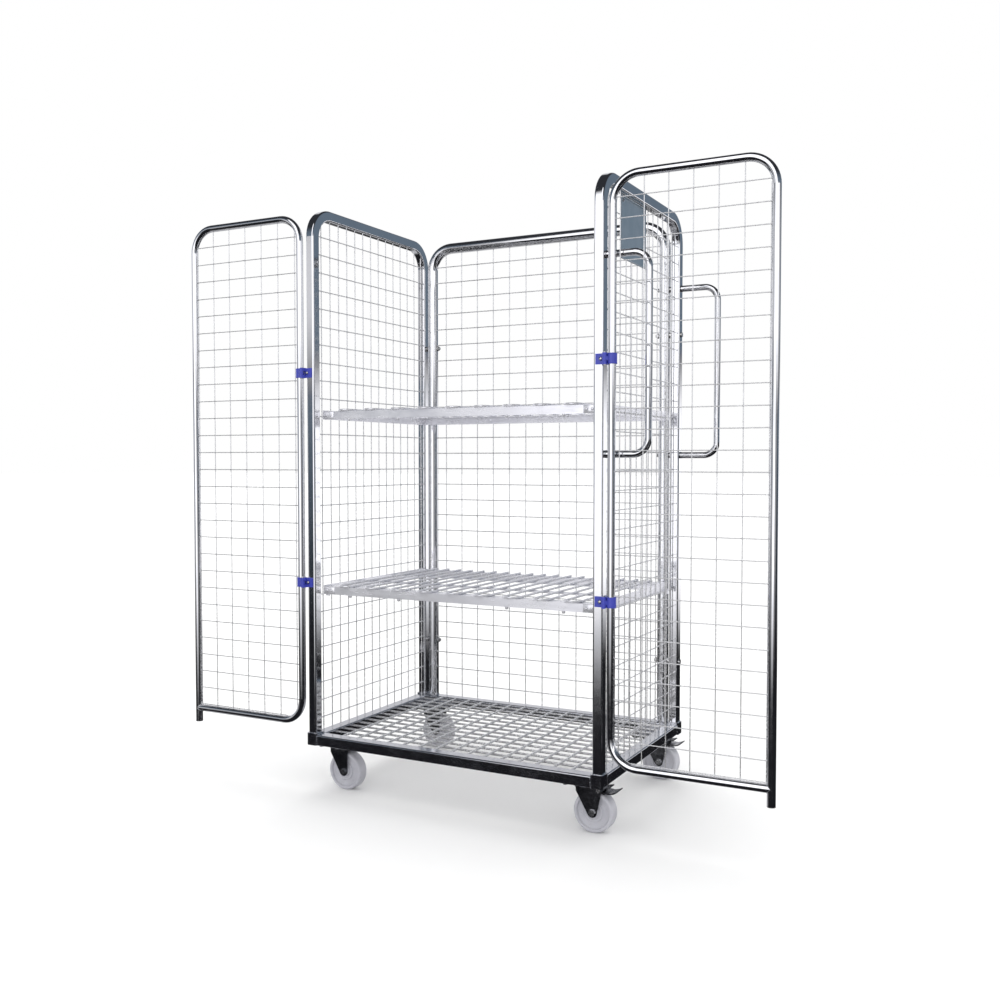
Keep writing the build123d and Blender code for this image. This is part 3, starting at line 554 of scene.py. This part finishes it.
# ---- shelves: pressed end brackets with two rivets each, short pegs under the front rail ----
BRACKET_RIVET = [(0, 0.0036), (0.0006, 0.0038), (0.0016, 0.0028), (0.0020, 0.0012), (0.0020, 0)]
PEG = [(0, 0.0046), (0.0045, 0.0046), (0.0055, 0.0040), (0.0060, 0.0022), (0.0060, 0)]
PEG_PLACES = (-0.325, -0.165, 0.165, 0.325)
HAIRPIN_PITCH, HAIRPIN_HALF, HAIRPINS = 0.086, 0.0215, 9
CROSSING_PLACES = (-0.240, -0.092, 0.092, 0.250)
for level in ("upper", "lower"):
    low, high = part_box("shelf_" + level + "_rails")
    bm = bmesh.new()
    for sx in (-1, 1):
        start, end = sorted((sx * (high[0] - 0.001), sx * (high[0] - 0.034)))
        bar(bm, (start, low[1] - 0.0016, low[2] + 0.001), (end, low[1] + 0.0006, high[2] - 0.001), 0.0010)
        for dx in (0.010, 0.025):
            turned(bm, (sx * (high[0] - dx), low[1] - 0.0016, low[2] + 0.011), (0, -1, 0), BRACKET_RIVET, 20)
    finish_piece("shelf_" + level + "_end_brackets", bm, "cage", "shelf_steel", 50)
    bm = bmesh.new()
    for x in PEG_PLACES:
        turned(bm, (x, low[1] + 0.0012, low[2]), (0, 0, -1), PEG, 20)
    finish_piece("shelf_" + level + "_pegs", bm, "cage", "shelf_steel", 50)
    # Weld spots where the hairpin wires cross the rails and bands.
    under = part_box("shelf_" + level + "_wires")[0][2]
    bm = bmesh.new()
    for k in range(HAIRPINS):
        for dx in (-HAIRPIN_HALF, HAIRPIN_HALF):
            x = HAIRPIN_PITCH * (k - (HAIRPINS - 1) // 2) + dx
            for y in CROSSING_PLACES:
                ball(bm, (x, y, under + 0.0007), (0.0034, 0.0046, 0.0012), 10, 6)
    finish_piece("shelf_" + level + "_welds", bm, "cage", "shelf_steel")

# ---- handles: a thin weld ring where each end meets the post ----
bm = bmesh.new()
for y in HANDLE_PLACES:
    for z in HANDLE_LEVELS:
        bead(bm, circle((HANDLE_END_X, y, z), (1, 0, 0), 0.0092), 0.0007, True, 0.003)
finish_piece("handle_weld_rings", bm, "cage", "plated_tube", 60)

# ---- hinges: domed screw heads with a recess, and two moulded ribs on each clip ----
SCREW = [(0, 0), (0, 0.0042), (0.0004, 0.0043), (0.0010, 0.0040), (0.0016, 0.0030), (0.0018, 0.0018),
         (0.0008, 0.0016), (0.0008, 0)]
CLIP_RIB = [(0, 0.0124), (0.0004, 0.0129), (0.0020, 0.0129), (0.0024, 0.0124)]
CLIP_RIB_LIFT = (-0.0127, 0.0103)
SCREW_X, SCREW_Y = 0.439, -0.3108
bm = bmesh.new()
for side in (-1, 1):
    for z in HINGE_LEVELS:
        turned(bm, (side * SCREW_X, SCREW_Y, z), (0, -1, 0), SCREW, 18)
finish_piece("hinge_screw_heads", bm, "cage", "fastener_steel", 50)
for side, word in SIDES:
    bm = bmesh.new()
    for z in HINGE_LEVELS:
        for lift in CLIP_RIB_LIFT:
            turned(bm, (side * HINGE_TUBE_X, DOOR_Y, z + lift), (0, 0, 1), CLIP_RIB, 40)
    finish_piece("clip_ribs_" + word, bm, "door_" + word, "blue_clip", 50)

# ---- castors: moulded rings and pin marks on the wheels, tread ribs on the pedals ----
PIN_MARK = [(0, 0.0030), (0.0004, 0.0030), (0.0006, 0.0026), (0.0006, 0.0020), (0.0001, 0.0018), (0.0001, 0)]
PIN_MARKS, PIN_RING_R = 6, 0.0340
WEB_RING = [(0, 0.0285), (0.0005, 0.0280), (0.0009, 0.0272), (0.0005, 0.0264), (0, 0.0259)]
WHEEL_FACE = 0.0125
RIBS, RIB_HALF, RIB_PITCH = 4, 0.019, 0.0035
RIB_START, RIB_LEVEL, RIB_RISE = 0.0735, 0.1040, 0.0009


def wheel_marks(word, hub):
    """On both faces of a wheel, a raised ring round the hub and a ring of pin marks."""
    bm = bmesh.new()
    for face in (-1, 1):
        web = hub + Vector((0, face * WHEEL_FACE, 0))
        for k in range(PIN_MARKS):
            a = math.tau * (k + 0.25) / PIN_MARKS
            spot = web + Vector((math.cos(a), 0, math.sin(a))) * PIN_RING_R
            turned(bm, spot, (0, face, 0), PIN_MARK, 16)
        turned(bm, web, (0, face, 0), WEB_RING, 64)
    finish_piece("wheel_marks_" + word, bm, "roller_" + word, "wheel_polyamide", 50)


def pedal_ribs(word, swivel_x, swivel_y):
    """Grip ribs across the pedal's tread, which slopes up outwards. The last stands a little higher."""
    bm = bmesh.new()
    for k in range(RIBS):
        x = swivel_x + RIB_START + RIB_PITCH * k
        z = RIB_LEVEL + RIB_RISE * k + (0.0006 if k == RIBS - 1 else 0)
        bar(bm, (x, swivel_y - RIB_HALF, z - 0.0006), (x + 0.0014, swivel_y + RIB_HALF, z + 0.0010), 0.0004)
    finish_piece("pedal_ribs_" + word, bm, "pedal_" + word, "castor_steel", 50)


for sy, end in ((-1, "front"), (1, "rear")):
    for sx, side in SIDES:
        wheel_marks(end + "_" + side, Vector((sx * CASTOR_X + CASTOR_TRAIL, sy * CASTOR_Y, AXLE_LEVEL)))
        if side == "right":
            pedal_ribs(end + "_" + side, sx * CASTOR_X, sy * CASTOR_Y)
